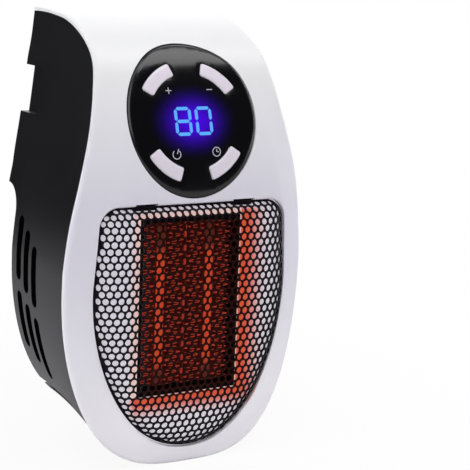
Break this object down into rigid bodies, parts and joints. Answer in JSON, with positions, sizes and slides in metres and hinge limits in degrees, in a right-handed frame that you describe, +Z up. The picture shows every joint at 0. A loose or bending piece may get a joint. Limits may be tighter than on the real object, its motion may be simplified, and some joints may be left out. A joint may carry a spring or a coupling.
{
  "type": "plug-in fan heater",
  "caption": "Plug-in fan heater with a white front shell, black rear housing, perforated grille, round key panel, side rocker switch and turning mains plug.",
  "frame": {"origin": "centre of the plug disc's rear face, between the blades, which meets the outlet", "axes": "+Y points out of the back along the plug blades, towards the wall; +Z is up; +X is the side with the rocker switch; the grille faces -Y"},
  "size_m": [0.1084, 0.105, 0.1815],
  "materials": {
    "white_shell": "smooth white moulded plastic with a soft sheen",
    "black_housing": "black moulded plastic with a satin, finely textured face",
    "black_grille": "black painted perforated sheet",
    "dark_frame": "black heat-resistant plastic",
    "fin_metal": "thin folded aluminium strip, warm grey",
    "bar_metal": "aluminium sleeve on the ceramic heater, dull",
    "grey_part": "dark grey heat-proof case",
    "dark_plastic": "dark grey unpolished plastic",
    "steel": "ground steel",
    "motor_can": "drawn zinc-plated steel can",
    "panel_lens": "glossy tinted black lens",
    "pale_key": "pale lilac-white translucent key",
    "board_green": "green solder mask",
    "display_face": "dark display face",
    "contact_metal": "nickel-plated brass",
    "black_gloss": "black smooth plastic",
    "relay_blue": "blue relay case",
    "capacitor_yellow": "yellow capacitor case",
    "connector_green": "green terminal block",
    "capacitor_dark": "dark blue shrink sleeve",
    "lead_black": "black flexible insulation",
    "lead_red": "red flexible insulation",
    "lead_white": "woven glass sleeve",
    "screw_dark": "darkened steel screw",
    "screw_zinc": "zinc-plated steel screw"
  },
  "bodies": {
    "case": {"front_shell": "white_shell", "rear_housing": "black_housing", "grille": "black_grille", "heater_frame": "dark_frame", "fins_left_inner": "fin_metal", "fins_left_outer": "fin_metal", "fins_right_inner": "fin_metal", "fins_right_outer": "fin_metal", "ceramic_bar_left": "bar_metal", "ceramic_bar_right": "bar_metal", "centre_plate": "bar_metal", "end_cap_bottom": "dark_frame", "end_cap_top": "dark_frame", "thermal_cutout": "grey_part", "fan_shroud": "dark_plastic", "fan_motor": "motor_can", "control_lens": "panel_lens", "tact_switch_1": "dark_plastic", "tact_switch_2": "dark_plastic", "tact_switch_3": "dark_plastic", "tact_switch_4": "dark_plastic", "panel_board": "board_green", "display_module": "display_face", "plug_retainer": "dark_plastic", "rocker_holder": "black_gloss", "power_board": "board_green", "relay": "relay_blue", "filter_capacitor": "capacitor_yellow", "mains_connector": "connector_green", "smoothing_capacitor": "capacitor_dark", "mains_lead": "lead_black", "switch_lead": "lead_red", "heater_lead_left": "lead_white", "heater_lead_right": "lead_white", "motor_lead": "lead_black", "case_screw_bottom_left": "screw_dark", "shroud_screw_bottom_left": "screw_zinc", "case_screw_top_left": "screw_dark", "shroud_screw_top_left": "screw_zinc", "motor_screw_left": "screw_zinc", "retainer_screw_left": "screw_zinc", "case_screw_bottom_right": "screw_dark", "shroud_screw_bottom_right": "screw_zinc", "case_screw_top_right": "screw_dark", "shroud_screw_top_right": "screw_zinc", "motor_screw_right": "screw_zinc", "retainer_screw_right": "screw_zinc"},
    "plug": {"plug_disc": "black_housing", "plug_blade_left": "contact_metal", "plug_blade_right": "contact_metal", "ground_pin": "contact_metal"},
    "rocker_body": {"rocker": "black_gloss"},
    "fan": {"impeller": "dark_plastic", "motor_shaft": "steel"},
    "key_plus_body": {"key_plus": "pale_key"},
    "key_minus_body": {"key_minus": "pale_key"},
    "key_standby_body": {"key_standby": "pale_key"},
    "key_timer_body": {"key_timer": "pale_key"}
  },
  "joints": [
    {"name": "plug_turn", "type": "hinge", "parent": "case", "child": "plug", "pos_m": [0, 0, 0], "axis": [0, 1, 0], "range_deg": [-90, 90]},
    {"name": "rocker_tilt", "type": "hinge", "parent": "case", "child": "rocker_body", "pos_m": [0.0459, -0.0205, -0.0294], "axis": [0, 1, 0], "range_deg": [0, 20]},
    {"name": "fan_spin", "type": "hinge", "parent": "case", "child": "fan", "pos_m": [0, -0.042, -0.0865], "axis": [0, 1, 0], "continuous": true},
    {"name": "key_plus_press", "type": "slide", "parent": "case", "child": "key_plus_body", "axis": [0, 0.9413, -0.3377], "range_m": [0, 0.0005], "stiffness_N_per_m": 3000},
    {"name": "key_minus_press", "type": "slide", "parent": "case", "child": "key_minus_body", "axis": [0, 0.9413, -0.3377], "range_m": [0, 0.0005], "stiffness_N_per_m": 3000},
    {"name": "key_standby_press", "type": "slide", "parent": "case", "child": "key_standby_body", "axis": [0, 0.9413, -0.3377], "range_m": [0, 0.0005], "stiffness_N_per_m": 3000},
    {"name": "key_timer_press", "type": "slide", "parent": "case", "child": "key_timer_body", "axis": [0, 0.9413, -0.3377], "range_m": [0, 0.0005], "stiffness_N_per_m": 3000}
  ]
}
